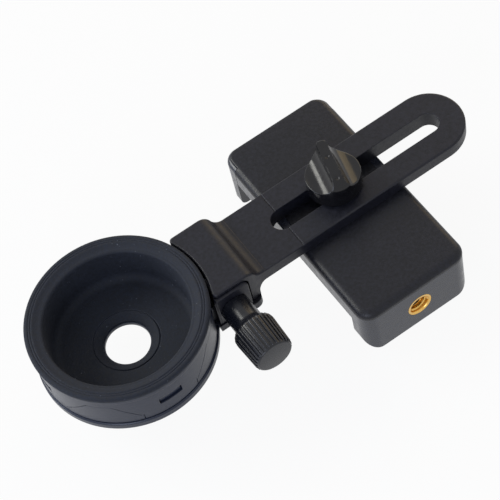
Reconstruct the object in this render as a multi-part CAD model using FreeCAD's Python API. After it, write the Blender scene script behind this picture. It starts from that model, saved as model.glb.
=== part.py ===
import FreeCAD, Part
import math
import os

# Telescope phone adapter. The origin is on the axis of the eyepiece cup, at the face of the
# cup that the phone's camera looks into. +Z is the eyepiece side, +X runs along the slotted
# arm to its round end, and -Y is the side of the thumbscrew. Millimetres.

V = FreeCAD.Vector
X_AXIS = V(1, 0, 0)
Y_AXIS = V(0, 1, 0)
Z_AXIS = V(0, 0, 1)

# Clearances
gap = 0.05            # flat faces that slide on each other
running = 0.06        # radial play of a shaft in its bore
slack = 0.25          # moulded parts that pass each other
soft_gap = 0.2        # rubber beside rigid parts

# Rubber cup
cup_inner_r = 21.2
rubber_wall = 1.4
cup_floor_top = 3.0
cup_corner_r = 2.6    # where the cup's floor curves up into its wall
rim_top = 17.4
rim_overhang = 0.3    # rim past the housing's wall
rim_flat = 2.0        # flat part of the rim, outside its sloping inner band
rim_slope = 1.1
rim_edge_r = 0.7
skirt_height = 3.1
bead = 0.3
view_hole_r = 7.1
view_chamfer = 2.2
view_chamfer_drop = 1.2

# Base cover, housing wall and clamp band
base_lip = 0.45       # base rim past the housing's wall
base_rim = 2.7
base_edge = 0.4
base_plate = 1.1
base_hole_r = 6.7
wall_t = 2.0
shadow_gap = 0.4      # dark line between the base rim and the wall above it
seat_ring = 1.8       # height of the retaining ring
band_t = 0.7
band_margin = 1.0     # band's edges to the wall's edges
band_leg_y = 10.9
band_leg_offset = 3.0
band_grip = 0.9

# Snap tongues of the retaining ring
tongue_t = 1.35
tongue_top_half = 17.5
tongue_low_half = 9.3
tongue_shoulder = 0.6
tongue_shoulder_z = 5.5
tongue_angles = (-90, 90, 180)
tongue_split = 0.15
window_half = 3.65
window_low = 7.6
window_high = 10.3
post_t = 0.9
post_rise = 0.9
catch_play = 0.15
catch_sink = 0.6      # catch's face below the tongue's

# Clamp block beside the cup
block_flare = 1.1     # block past the arm on each side
block_top = 16.4
block_reach = 12.8    # housing's wall to the block's far side
crest_back = 3.9      # the top starts to step down this far before that side
step_length = 7.0
block_arc_r = 28.5
block_clear = 0.4     # gap between the block and the rubber rim at its closest
block_corner_r = 1.2
top_edge_r = 0.6
under_curve_r = 3.0
foot_lip = 1.2        # base's foot past the block's near side
foot_corner_r = 2.5

# Sliding lug and its recess
lug_inset = 2.1       # lug's inner end inside the housing's wall
lug_length = 9.5
lug_height = 11.7
lug_reach = 0.8       # lug's face past the block's near side
lug_depth = 9.0
lug_corner_r = 0.6
recess_side = 2.4
recess_above = 0.5
recess_corner_r = 2.2
recess_end = 3.0
clamp_travel = 2.4

# Thumbscrew
screw_offset = 3.45   # its axis to the housing's wall
screw_z = 7.8
thumb_stud_r = 2.0
barrel_r = 4.5
barrel_length = 7.3
shoulder_length = 3.1
grip_r = 6.45
grip_end_r = 5.95
grip_length = 10.2
flutes = 30
flute_depth = 0.4
stud_socket = 6.2     # depth of the stud in the knob's grip
thumb_stud_end = 7.0
thumb_nut_t = 3.2
thumb_nut_flats = 7.0
nut_wall = 0.6        # wall between the nut's pocket and the recess

# Slotted arm
arm_width = 22.2
arm_top = 11.5
arm_t = 4.3
arm_end_x = 107.4     # centre of the round end
slot_start_x = 55.7
slot_width = 7.1
slot_lip = 1.4        # wall of the rib round the slot
slot_lip_depth = 1.5
seam_x = 55.6
seam_drop = 0.2
seam_line = 0.35

# Phone holder
holder_x = 73.25
holder_half = 18.0
holder_near = -39.9
holder_far = 33.0
plate_bottom = -0.8
body_edge_r = 0.5
cover_edge_r = 1.3
corner_r = 4.4
jaw_bottom = -12.1
fixed_jaw_t = 7.4
fixed_jaw_r = 5.5     # lower corners of the fixed jaw
moving_jaw_t = 6.6
moving_jaw_r = 2.0
cap_length = 7.0
cap_rim_t = 1.2
cap_rim_end_t = 0.75
cap_rim_rise = 1.1
cap_edge_r = 1.6
jaw_travel = 27.0
channel_floor_t = 1.2
channel_wall = 1.6
channel_end_wall = 1.2
rod_x = 9.5
rod_z = 1.75
rod_r = 1.0
rod_head_r = 1.65
rod_head_t = 1.0
rod_head_y = -30.0
rod_end_wall = 2.3    # jaw's wall past the rods' ends
spring_r = 1.4
spring_wire = 0.4
spring_turns = 10
spring_bore_r = 1.9
spring_bore_start = 3.3
bulkhead = 4.3

# Pads
pad_t = 1.2
pad_half = 13.0
pad_low_margin = 1.6
pad_high_margin = 1.4
pad_corner_r = 2.0
back_pad_t = 0.8
back_pad_half = 12.4
back_pad_margin = 1.0
back_pad_end = 1.5
back_pad_corner_r = 2.5

# Tripod insert
insert_shift = 0.25   # off the holder's middle
insert_r = 4.0
insert_bore_r = 2.6
insert_length = 6.0
insert_z = -3.4
insert_mouth = 0.5

# Wing knob
knob_shift = 0.9      # off the holder's middle
knob_r = 8.2
knob_rim_z = 17.3
washer_t = 0.8
washer_r = 7.2
wing_top = 22.0
wing_half = 1.5
wing_angle = 75.5
wing_tip = 8.9
wing_tip_r = 1.1
wing_heel = -4.8
scoop_r = 5.2
scoop_tilt = 5.0
dimple_r = 0.6
dimple_depth = 0.3
dimple_ys = (2.7, -5.2)
knob_stud_r = 2.5
stud_cover = 1.0      # plastic over the stud's end
knob_nut_flats = 8.0
knob_nut_t = 3.4
stud_chamfer = 0.4

# Screws
screw_r = 0.85
screw_head_r = 1.55
screw_head_t = 1.0
cross_half = 0.8
cross_width = 0.4
cross_depth = 0.5
head_sink = 0.05
base_screw_inset = 1.75
base_screw_y = 8.0
base_screw_top = 6.4
cover_screw_x = 14.6
cover_screw_ys = (-28.0, 14.5)
cover_screw_top = 6.5

# Worked out from the sizes above
rubber_outer_r = cup_inner_r + rubber_wall
band_r = rubber_outer_r + soft_gap
post_r = band_r + band_t + soft_gap
wall_outer_r = post_r + post_t + tongue_split + tongue_t
wall_inner_r = wall_outer_r - wall_t
rim_outer_r = wall_outer_r + rim_overhang
base_r = wall_outer_r + base_lip
arm_bottom = arm_top - arm_t
cover_top = arm_bottom - gap
lip_bottom = arm_bottom - slot_lip_depth
cover_bottom = lip_bottom - gap
lip_half = slot_width / 2 + slot_lip
groove_half = lip_half + slack
wall_bottom = base_rim + shadow_gap
skirt_bottom = rim_top - skirt_height
seat_top = skirt_bottom - soft_gap
wall_top = seat_top - seat_ring - gap
band_low = wall_bottom + band_margin
band_high = wall_top - seat_ring - band_margin
block_half = arm_width / 2 + block_flare
block_bottom = base_rim + gap
block_right = wall_outer_r + block_reach
block_crest = block_right - crest_back
block_left = wall_inner_r - 2 * wall_t
foot_front = -block_half - foot_lip
screw_x = wall_outer_r + screw_offset
lug_left = wall_outer_r - lug_inset
lug_right = lug_left + lug_length
lug_bottom = base_rim + slack
lug_top = lug_bottom + lug_height
lug_front = -block_half - lug_reach
lug_back = lug_front + lug_depth
recess_right = lug_right + recess_side
recess_top = lug_top + recess_above
grip_start = lug_front - gap - barrel_length - shoulder_length
grip_end = grip_start - grip_length
left_x = holder_x - holder_half
right_x = holder_x + holder_half
rod_xs = (holder_x - rod_x, holder_x + rod_x)
holder_body_far = holder_far - cap_length - slack
cover_inset = cap_rim_t + slack
cover_far = holder_far - cap_rim_end_t - slack
cap_top = cover_bottom + cap_rim_rise
pocket_half = holder_half - cover_inset - channel_end_wall
channel_bottom = cover_bottom - channel_floor_t
pocket_bottom = channel_bottom - slack / 2
knob_nut_top = pocket_bottom - gap
knob_x = holder_x + knob_shift
insert_x = holder_x + insert_shift
washer_top = arm_top + gap + washer_t
knob_bottom = washer_top + gap
screw_places = [(holder_x + sign * cover_screw_x, y) for sign in (-1, 1) for y in cover_screw_ys]
base_screw_x = block_right - base_screw_inset


def box(x0, x1, y0, y1, z0, z1):
    return Part.makeBox(x1 - x0, y1 - y0, z1 - z0, V(x0, y0, z0))


def rod(radius, start, length, axis=Z_AXIS):
    return Part.makeCylinder(radius, length, start, axis)


def tube(outer, inner, z0, z1):
    return rod(outer, V(0, 0, z0), z1 - z0).cut(rod(inner, V(0, 0, z0), z1 - z0))


def flat_face(points, plane):
    corners = {
        "xy": lambda a, b: V(a, b, 0),
        "xz": lambda a, b: V(a, 0, b),
        "yz": lambda a, b: V(0, a, b),
    }[plane]
    loop = [corners(a, b) for a, b in points]
    return Part.Face(Part.makePolygon(loop + loop[:1]))


def turned(points, axis=Z_AXIS, origin=V(0, 0, 0)):
    # The outline is in (radius, height) and is turned round the height axis.
    if axis == Z_AXIS:
        face = flat_face(points, "xz")
    else:
        face = flat_face(points, "xy")
    shape = face.revolve(V(0, 0, 0), axis, 360)
    shape.translate(origin)
    return shape


def edges_at(shape, test):
    return [edge for edge in shape.Edges if test(edge)]


def all_points(edge, test):
    ends = [vertex.Point for vertex in edge.Vertexes]
    middle = edge.valueAt((edge.FirstParameter + edge.LastParameter) / 2)
    return all(test(point) for point in ends + [middle])


def rounded_box(x0, x1, y0, y1, z0, z1, radius):
    shape = box(x0, x1, y0, y1, z0, z1)
    upright = edges_at(shape, lambda edge: abs(edge.tangentAt(edge.FirstParameter).z) > 0.99)
    return shape.makeFillet(radius, upright)


def hexagon(flats, start, length, axis):
    corner = flats / math.sqrt(3)
    points = [(corner * math.cos(math.radians(60 * k)), corner * math.sin(math.radians(60 * k)))
              for k in range(6)]
    shape = flat_face(points, "xy").extrude(V(0, 0, length))
    if axis == Y_AXIS:
        shape.rotate(V(0, 0, 0), X_AXIS, -90)
    shape.translate(start)
    return shape


def stadium(x0, x1, half, z0, z1):
    # A straight bar with round ends whose centres are at x0 and x1.
    body = box(x0, x1, -half, half, z0, z1)
    left = rod(half, V(x0, 0, z0), z1 - z0)
    right = rod(half, V(x1, 0, z0), z1 - z0)
    return body.fuse([left, right]).removeSplitter()


def tongue_prism(grow):
    # The outline of one snap tongue, as a thick wedge along +X through the wall.
    top_half = tongue_top_half + grow
    low_half = tongue_low_half + grow
    foot_half = low_half - tongue_shoulder
    foot = wall_bottom - grow
    outline = [(-foot_half, foot), (foot_half, foot), (foot_half, tongue_shoulder_z),
               (low_half, tongue_shoulder_z), (top_half, seat_top), (-top_half, seat_top),
               (-low_half, tongue_shoulder_z), (-foot_half, tongue_shoulder_z)]
    prism = flat_face(outline, "yz").extrude(V(wall_outer_r + 1, 0, 0))
    reach = rod(wall_outer_r + 1, V(0, 0, 0), rim_top)
    return prism.common(reach)


def turned_to(shape, angle):
    copy = shape.copy()
    copy.rotate(V(0, 0, 0), Z_AXIS, angle)
    return copy


def step_outline():
    # Side view of the block and the arm, with the S-shaped step between their tops.
    drop = (block_top - arm_top) / 2
    reach = step_length / 2
    radius = (reach ** 2 + drop ** 2) / (2 * drop)
    turn = math.asin(reach / radius) / 2
    crest = V(block_crest, 0, block_top)
    middle = V(block_crest + reach, 0, block_top - drop)
    foot = V(block_crest + step_length, 0, arm_top)
    upper = V(crest.x + radius * math.sin(turn), 0, crest.z - radius * (1 - math.cos(turn)))
    lower = V(foot.x - radius * math.sin(turn), 0, foot.z + radius * (1 - math.cos(turn)))
    low_left = V(block_left, 0, block_bottom)
    high_left = V(block_left, 0, block_top)
    heel = V(block_right, 0, arm_bottom - under_curve_r)
    dip = under_curve_r * (1 - math.sin(math.pi / 4))
    bend = V(block_right + dip, 0, arm_bottom - dip)
    under = V(block_right + under_curve_r, 0, arm_bottom)
    edges = [
        Part.makeLine(low_left, high_left),
        Part.makeLine(high_left, crest),
        Part.Arc(crest, upper, middle).toShape(),
        Part.Arc(middle, lower, foot).toShape(),
        Part.makeLine(foot, V(arm_end_x, 0, arm_top)),
        Part.makeLine(V(arm_end_x, 0, arm_top), V(arm_end_x, 0, arm_bottom)),
        Part.makeLine(V(arm_end_x, 0, arm_bottom), under),
        Part.Arc(under, bend, heel).toShape(),
        Part.makeLine(heel, V(block_right, 0, block_bottom)),
        Part.makeLine(V(block_right, 0, block_bottom), low_left),
    ]
    return Part.Face(Part.Wire(edges))


def plan_outline():
    # Seen from above: the wider block narrows to the arm with a soft S on each side.
    half = arm_width / 2
    end = block_crest + step_length
    middle = (block_crest + end) / 2
    edges = [Part.makeLine(V(block_left, -block_half, 0), V(block_left, block_half, 0))]
    for sign in (1, -1):
        curve = Part.BezierCurve()
        curve.setPoles([V(block_crest, sign * block_half, 0), V(middle, sign * block_half, 0),
                        V(middle, sign * half, 0), V(end, sign * half, 0)])
        edges.append(Part.makeLine(V(block_left, sign * block_half, 0),
                                   V(block_crest, sign * block_half, 0)))
        edges.append(curve.toShape())
        edges.append(Part.makeLine(V(end, sign * half, 0), V(arm_end_x, sign * half, 0)))
    edges.append(Part.makeLine(V(arm_end_x, half, 0), V(arm_end_x, -half, 0)))
    return Part.Face(Part.Wire(Part.__sortEdges__(edges)))


def arm_and_block():
    side = step_outline().extrude(V(0, 2 * block_half, 0))
    side.translate(V(0, -block_half, 0))
    plan = plan_outline().extrude(V(0, 0, block_top + 1))
    body = side.common(plan)
    tip = rod(arm_width / 2, V(arm_end_x, 0, arm_bottom), arm_t)
    body = body.fuse(tip).removeSplitter()

    # The block's hollow face follows the cup with a larger radius than the rim.
    nearest = rim_outer_r + bead + block_clear
    hollow = rod(block_arc_r, V(nearest - block_arc_r, 0, wall_top), block_top)
    body = body.cut(hollow)
    corners = edges_at(body, lambda edge: all_points(
        edge, lambda p: abs(abs(p.y) - block_half) < 0.01 and p.x < rim_outer_r
        and p.z > wall_top - 0.01) and abs(edge.tangentAt(edge.FirstParameter).z) > 0.99)
    body = body.makeFillet(block_corner_r, corners)
    outer = edges_at(body, lambda edge: all_points(
        edge, lambda p: p.z > arm_top - 0.01 and (abs(p.y) > arm_width / 2 - 0.01
                                                 or p.x > arm_end_x - 0.01)
        and (p.x > rim_outer_r or p.z > block_top - 0.01)))
    return body.makeFillet(top_edge_r, outer)


def arm_housing():
    body = arm_and_block()
    wall = tube(wall_outer_r, wall_inner_r, wall_bottom, wall_top)
    inside = rod(wall_inner_r, V(0, 0, 0), block_top)
    body = body.fuse(wall).cut(inside)
    skin = rod(wall_outer_r - tongue_t - tongue_split, V(0, 0, 0), block_top)
    seat = tongue_prism(tongue_split).cut(skin)
    post_way = box(0, wall_outer_r, -window_half - slack, window_half + slack,
                   0, window_high + post_rise + slack)
    for angle in tongue_angles:
        body = body.cut([turned_to(seat, angle), turned_to(post_way, angle)])

    # Room for the lug, the band's ends, the screw and its nut.
    band_way = box(cup_inner_r, lug_left + 2 * wall_t, -block_half - foot_lip,
                   recess_end + block_half / 2, wall_bottom + gap, wall_top - seat_ring)
    band_way = band_way.common(rod(wall_outer_r + band_t + 2 * slack, V(0, 0, 0), block_top))
    screw_hole = rod(thumb_stud_r + slack, V(screw_x, 0, screw_z),
                     thumb_stud_end + clamp_travel + slack, Y_AXIS)
    nut_y = recess_end + nut_wall
    nut_reach = thumb_nut_flats / math.sqrt(3) + gap
    nut_room = hexagon(thumb_nut_flats + 2 * gap, V(screw_x, nut_y, screw_z),
                       thumb_nut_t + 2 * gap, Y_AXIS)
    nut_way = box(screw_x - nut_reach, screw_x + nut_reach, nut_y,
                  nut_y + thumb_nut_t + 2 * gap, 0, screw_z)
    far_y = band_leg_y - band_leg_offset
    band_seat = box(rubber_outer_r, wall_outer_r + band_grip + gap, far_y - band_t / 2 - gap,
                    far_y + band_t / 2 + gap, band_low - gap, band_high + gap)
    body = body.cut([lug_recess(), band_way, band_seat, screw_hole, nut_room, nut_way])
    for sign in (-1, 1):
        hole = rod(screw_r, V(base_screw_x, sign * base_screw_y, 0), base_screw_top + gap)
        body = body.cut(hole)

    # Slot with a deeper rib round it on the underside.
    lip = stadium(slot_start_x, arm_end_x, lip_half, lip_bottom, arm_bottom)
    slot = stadium(slot_start_x, arm_end_x, slot_width / 2, lip_bottom - 1, arm_top + 1)
    body = body.fuse(lip).cut(slot)

    # The arm's top is a little lower on the cup's side of the seam across the slot's end.
    seam = box(seam_x - seam_line, seam_x, -arm_width, arm_width, arm_top - seam_line, arm_top + 1)
    lower = box(block_crest + step_length, seam_x, -arm_width, arm_width,
                arm_top - seam_drop, arm_top + 1)
    body = body.cut([seam, lower])
    return body.removeSplitter()


def lug_recess():
    room = box(wall_outer_r + slack, recess_right, foot_front, recess_end, 0, recess_top)
    corner = edges_at(room, lambda edge: all_points(
        edge, lambda p: abs(p.x - recess_right) < 0.01 and abs(p.z - recess_top) < 0.01))
    room = room.makeFillet(recess_corner_r, corner)
    front = box(lug_left - 2 * rim_overhang, wall_outer_r + 2 * slack, foot_front, recess_end,
                0, recess_top)
    front = front.cut(rod(wall_outer_r, V(0, 0, 0), recess_top))
    return room.fuse(front)


def retaining_ring():
    ring = tube(wall_outer_r, wall_inner_r, wall_top + gap, seat_top)
    skin = tube(wall_outer_r, wall_outer_r - tongue_t, wall_bottom, seat_top)
    tongues = [turned_to(tongue_prism(0), angle).common(skin) for angle in tongue_angles]
    ring = ring.fuse(tongues)
    window = box(post_r, base_r, -window_half, window_half,
                 window_low, window_high)
    for angle in tongue_angles:
        ring = ring.cut(turned_to(window, angle))
    return ring.removeSplitter()


def rounding(centre_r, centre_z, radius, start, steps):
    # Points along a quarter circle in (radius, height), from the angle start.
    angles = [math.radians(start + 90.0 * k / steps) for k in range(steps + 1)]
    return [(centre_r + radius * math.cos(a), centre_z + radius * math.sin(a)) for a in angles]


def rubber_cup():
    floor_bottom = base_plate + gap
    outline = [
        (view_hole_r, floor_bottom),
        (rubber_outer_r, floor_bottom),
        (rubber_outer_r, skirt_bottom),
        (rim_outer_r, skirt_bottom),
        (rim_outer_r + bead, skirt_bottom + bead),
        (rim_outer_r + bead, skirt_bottom + 2.5 * bead),
        (rim_outer_r, skirt_bottom + 3.5 * bead),
    ]
    outline += rounding(rim_outer_r - rim_edge_r, rim_top - rim_edge_r, rim_edge_r, 0, 3)
    outline += [
        (rim_outer_r - rim_flat, rim_top),
        (cup_inner_r + bead, rim_top - rim_slope),
        (cup_inner_r, rim_top - rim_slope - bead),
    ]
    corner = rounding(cup_inner_r - cup_corner_r, cup_floor_top + cup_corner_r, cup_corner_r, 270, 4)
    outline += reversed(corner)
    outline += [
        (view_hole_r + view_chamfer, cup_floor_top),
        (view_hole_r, cup_floor_top - view_chamfer_drop),
    ]
    return turned(outline)


def base_cover():
    inner = rubber_outer_r + soft_gap
    outline = [
        (base_hole_r, 0), (base_r - base_edge, 0), (base_r, base_edge),
        (base_r, base_rim - base_edge), (base_r - base_edge, base_rim),
        (inner, base_rim), (inner, base_plate), (base_hole_r, base_plate),
    ]
    cover = turned(outline)
    foot = rounded_box(-foot_corner_r, block_right, foot_front, block_half, 0, base_rim,
                       foot_corner_r)
    foot = foot.cut(rod(base_r - base_edge, V(0, 0, 0), base_rim))
    foot = foot.cut(box(-base_r, lug_left - slack, -base_r, base_r, 0, base_rim))
    cover = cover.fuse(foot)

    # Posts behind the tongues, with the catches that show in the windows.
    post_top = window_high + post_rise
    post = tube(post_r + post_t, post_r, base_plate, post_top)
    post = post.common(box(0, base_r, -window_half, window_half, 0, post_top))
    catch = tube(wall_outer_r - catch_sink, post_r + post_t / 2, window_low + catch_play,
                 window_high - catch_play)
    catch = catch.common(box(0, base_r, -window_half + catch_play, window_half - catch_play,
                             0, post_top))
    hook = post.fuse(catch)
    cover = cover.fuse([turned_to(hook, angle) for angle in tongue_angles])
    for sign in (-1, 1):
        cover = cover.cut(screw_room(V(base_screw_x, sign * base_screw_y, 0), base_rim))
    return cover.removeSplitter()


def screw_room(place, length):
    hole = rod(screw_r + gap, place, length)
    sink = Part.makeCone(screw_head_r + gap, screw_r + gap, screw_head_t, place, Z_AXIS)
    return hole.fuse(sink)


def countersunk_screw(place, top):
    shank = rod(screw_r - gap, place, top - place.z)
    head = Part.makeCone(screw_head_r, screw_r - gap, screw_head_t, place, Z_AXIS)
    body = shank.fuse(head)
    for turn in (0, 90):
        cross = box(-cross_half, cross_half, -cross_width / 2, cross_width / 2, 0, cross_depth)
        cross.rotate(V(0, 0, 0), Z_AXIS, turn)
        cross.translate(place)
        body = body.cut(cross)
    return body.removeSplitter()


def base_screws():
    return Part.makeCompound([
        countersunk_screw(V(base_screw_x, sign * base_screw_y, head_sink), base_screw_top)
        for sign in (-1, 1)
    ])


def clamp_band():
    # An open hoop with two straight legs: one in the sliding lug, one fixed in the block.
    half = band_t / 2
    far_y = band_leg_y - band_leg_offset
    ring = tube(band_r + band_t, band_r, band_low, band_high)
    ring = ring.cut(box(0, wall_outer_r, -band_leg_y + half, far_y - half, band_low, band_high))
    near_start = math.sqrt(band_r ** 2 - band_leg_y ** 2)
    near = box(near_start, screw_x - thumb_stud_r - 3 * slack, -band_leg_y - half,
               -band_leg_y + half, band_low, band_high)
    far_start = math.sqrt(band_r ** 2 - far_y ** 2)
    far = box(far_start, wall_outer_r + band_grip, far_y - half, far_y + half,
              band_low, band_high)
    return ring.fuse([near, far]).removeSplitter()


def clamp_lug():
    lug = box(lug_left, lug_right, lug_front, lug_back, lug_bottom, lug_top)
    right = edges_at(lug, lambda edge: all_points(
        edge, lambda p: abs(p.x - lug_right) < 0.01 and p.z > lug_bottom + 0.01)
        or all_points(edge, lambda p: abs(p.x - lug_right) < 0.01 and abs(p.z - lug_top) < 0.01))
    lug = lug.makeFillet(lug_corner_r, right)
    # Its inner side stays clear of the wall and the rubber rim over the whole travel.
    for travel in (0, clamp_travel):
        lug = lug.cut(rod(wall_outer_r + slack, V(0, -travel, 0), rim_top))
        lug = lug.cut(rod(rim_outer_r + bead + slack, V(0, -travel, seat_top), skirt_height))
    hole = rod(thumb_stud_r + slack, V(screw_x, lug_front - 1, screw_z),
               lug_back - lug_front + 2, Y_AXIS)
    slit = box(wall_inner_r, screw_x - thumb_stud_r - 2 * slack, -band_leg_y - band_t / 2 - gap,
               -band_leg_y + band_t / 2 + gap, band_low - gap, band_high + gap)
    return lug.cut([hole, slit])


def band_nut():
    start = V(screw_x, recess_end + nut_wall + gap, screw_z)
    nut = hexagon(thumb_nut_flats, start, thumb_nut_t, Y_AXIS)
    return nut.cut(rod(thumb_stud_r + running, start, thumb_nut_t, Y_AXIS))


def thumbscrew_knob():
    tip = lug_front - gap
    barrel_end = tip - barrel_length
    # Profile in (radius, position along Y), from the lug to the flat outer end.
    profile = [
        (0, tip), (barrel_r, tip), (barrel_r, barrel_end),
        (barrel_r + 0.2 * (grip_r - barrel_r), barrel_end - 0.3 * shoulder_length),
        (barrel_r + 0.55 * (grip_r - barrel_r), barrel_end - 0.6 * shoulder_length),
        (grip_r - flute_depth / 2, grip_start + flute_depth), (grip_r, grip_start - flute_depth),
        (grip_end_r, grip_end + flute_depth), (grip_end_r - flute_depth, grip_end), (0, grip_end),
    ]
    knob = turned(profile, Y_AXIS)
    start = barrel_end - shoulder_length / 3
    taper = grip_end_r - grip_r
    outer = 2 * flute_depth
    half = math.pi * grip_r / flutes * outer / flute_depth
    root = V(grip_r - flute_depth, start, 0)
    tooth = Part.Face(Part.makePolygon([
        root, root + V(outer, 0, -half), root + V(outer, 0, half), root]))
    groove = tooth.extrude(V(taper, grip_end - start - flute_depth, 0))
    grooves = []
    for k in range(flutes):
        copy = groove.copy()
        copy.rotate(V(0, 0, 0), Y_AXIS, 360.0 / flutes * k)
        grooves.append(copy)
    knob = knob.cut(grooves)
    knob.translate(V(screw_x, 0, screw_z))
    socket = grip_end + grip_length - stud_socket
    return knob.cut(rod(thumb_stud_r, V(screw_x, socket, screw_z), tip - socket, Y_AXIS))


def thumbscrew_stud():
    start = V(screw_x, grip_end + grip_length - stud_socket, screw_z)
    stud = rod(thumb_stud_r, start, thumb_stud_end - start.y, Y_AXIS)
    rim = edges_at(stud, lambda edge: all_points(edge, lambda p: abs(p.y - thumb_stud_end) < 0.01))
    return stud.makeChamfer(stud_chamfer, rim)


def holder_body():
    blank = rounded_box(left_x, right_x, holder_near, holder_far, jaw_bottom, cover_bottom,
                        corner_r)
    top = edges_at(blank, lambda edge: all_points(edge, lambda p: p.z > cover_bottom - 0.01))
    blank = blank.makeFillet(body_edge_r, top)
    plate = box(left_x, right_x, holder_near, holder_body_far, plate_bottom, cover_bottom)
    jaw = jaw_section(fixed_jaw_t, holder_near, fixed_jaw_r, cover_bottom)
    body = blank.common(plate.fuse(jaw)).removeSplitter()

    # Pocket for the cover's channel, spring bores, rod bores and the captive nut.
    channel_half = groove_half + channel_wall + slack / 2
    spring_end = holder_body_far - bulkhead
    cuts = [box(holder_x - pocket_half, holder_x + pocket_half, -channel_half, channel_half,
                pocket_bottom, cover_bottom + 1)]
    for x in rod_xs:
        start = holder_near + spring_bore_start
        cuts.append(rod(spring_bore_r, V(x, start, rod_z), spring_end - start, Y_AXIS))
        cuts.append(rod(rod_r + running, V(x, 0, rod_z), holder_far, Y_AXIS))
    cuts.append(hexagon(knob_nut_flats + 2 * gap, V(knob_x, 0, knob_nut_top - knob_nut_t - gap),
                        knob_nut_t + 2 * gap, Z_AXIS))
    cuts.append(rod(insert_r, V(insert_x, holder_near, insert_z), insert_length, Y_AXIS))
    for x, y in screw_places:
        cuts.append(screw_room(V(x, y, plate_bottom), cover_bottom - plate_bottom))
    return body.cut(cuts).removeSplitter()


def jaw_section(depth, start, radius, top):
    # Front view of a jaw: straight sides and round lower corners.
    shape = box(left_x, right_x, start, start + depth, jaw_bottom, top)
    corners = edges_at(shape, lambda edge: abs(edge.tangentAt(edge.FirstParameter).y) > 0.99
                       and edge.Vertexes[0].Point.z < jaw_bottom + 0.01)
    return shape.makeFillet(radius, corners)


def holder_cover():
    left = left_x + cover_inset
    right = right_x - cover_inset
    plate = rounded_box(left, right, holder_near, cover_far, cover_bottom, cover_top,
                        corner_r - cover_inset)
    top = edges_at(plate, lambda edge: all_points(edge, lambda p: abs(p.z - cover_top) < 0.01))
    plate = plate.makeFillet(cover_edge_r, top)
    groove = box(left, right, -groove_half, groove_half, cover_bottom, cover_top)
    reach = pocket_half - slack / 2
    channel_half = groove_half + channel_wall
    channel = box(holder_x - reach, holder_x + reach, -channel_half, channel_half,
                  channel_bottom, cover_bottom)
    cover = plate.cut(groove).fuse(channel)
    cover = cover.cut(rod(knob_stud_r + slack, V(knob_x, 0, 0), cover_top))
    for x, y in screw_places:
        cover = cover.cut(rod(screw_r - gap, V(x, y, cover_bottom),
                              cover_screw_top - cover_bottom + gap))
    return cover.removeSplitter()


def cover_screws():
    return Part.makeCompound([
        countersunk_screw(V(x, y, plate_bottom + head_sink), cover_screw_top)
        for x, y in screw_places
    ])


def brass_insert():
    start = V(insert_x, holder_near, insert_z)
    body = rod(insert_r, start, insert_length, Y_AXIS)
    bore = rod(insert_bore_r, start, insert_length, Y_AXIS)
    mouth = Part.makeCone(insert_bore_r + insert_mouth, insert_bore_r, insert_mouth, start, Y_AXIS)
    return body.cut([bore, mouth])


def jaw_pad(y0, y1):
    pad = box(holder_x - pad_half, holder_x + pad_half, y0, y1,
              jaw_bottom + pad_low_margin, plate_bottom - pad_high_margin)
    corners = edges_at(pad, lambda edge: abs(edge.tangentAt(edge.FirstParameter).y) > 0.99)
    return pad.makeFillet(pad_corner_r, corners)


def fixed_jaw_pad():
    face = holder_near + fixed_jaw_t
    return jaw_pad(face, face + pad_t)


def moving_jaw_pad():
    face = holder_far - moving_jaw_t
    return jaw_pad(face - pad_t, face)


def back_pad():
    return rounded_box(holder_x - back_pad_half, holder_x + back_pad_half,
                       holder_near + fixed_jaw_t + pad_t + back_pad_margin,
                       holder_body_far - back_pad_end,
                       plate_bottom - back_pad_t, plate_bottom, back_pad_corner_r)


def knob_nut():
    start = V(knob_x, 0, knob_nut_top - knob_nut_t)
    nut = hexagon(knob_nut_flats, start, knob_nut_t, Z_AXIS)
    return nut.cut(rod(knob_stud_r + running, start, knob_nut_t))


def moving_jaw():
    start = holder_far - cap_length
    blank = rounded_box(left_x, right_x, start - 2 * corner_r, holder_far, jaw_bottom, cap_top,
                        corner_r)
    top = edges_at(blank, lambda edge: all_points(edge, lambda p: p.z > cap_top - 0.01))
    blank = blank.makeFillet(cap_edge_r, top)
    cap = box(left_x, right_x, start, holder_far, plate_bottom, cap_top)
    jaw = jaw_section(moving_jaw_t, holder_far - moving_jaw_t, moving_jaw_r, cap_top)
    body = blank.common(cap.fuse(jaw)).removeSplitter()
    room = rounded_box(left_x + cap_rim_t, right_x - cap_rim_t, start - 2 * corner_r,
                       holder_far - cap_rim_end_t, cover_bottom - slack, cap_top + 1,
                       corner_r - cap_rim_t)
    rods = [rod(rod_r, V(x, start, rod_z), cap_length - rod_end_wall, Y_AXIS) for x in rod_xs]
    return body.cut([room] + rods).removeSplitter()


def guide_rods():
    rods = []
    for x in rod_xs:
        start = V(x, rod_head_y, rod_z)
        shaft = rod(rod_r, start, holder_far - rod_end_wall - rod_head_y, Y_AXIS)
        rods.append(shaft.fuse(rod(rod_head_r, start, rod_head_t, Y_AXIS)).removeSplitter())
    return Part.makeCompound(rods)


def jaw_springs():
    low = rod_head_y + rod_head_t + spring_wire / 2 + gap
    high = holder_body_far - bulkhead - spring_wire / 2 - gap
    helix = Part.makeHelix((high - low) / spring_turns, high - low, spring_r)
    half = spring_wire / 2
    corners = [V(spring_r + a * half, 0, b * half) for a, b in ((-1, -1), (1, -1), (1, 1), (-1, 1))]
    section = Part.makePolygon(corners + corners[:1])
    coil = Part.Wire(helix.Edges).makePipeShell([section], True, True)
    coil.rotate(V(0, 0, 0), X_AXIS, -90)
    springs = []
    for x in rod_xs:
        copy = coil.copy()
        copy.translate(V(x, low, rod_z))
        springs.append(copy)
    return Part.makeCompound(springs)


def knob_washer():
    washer = tube(washer_r, knob_stud_r + running, arm_top + gap, washer_top)
    washer.translate(V(knob_x, 0, 0))
    return washer


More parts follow.
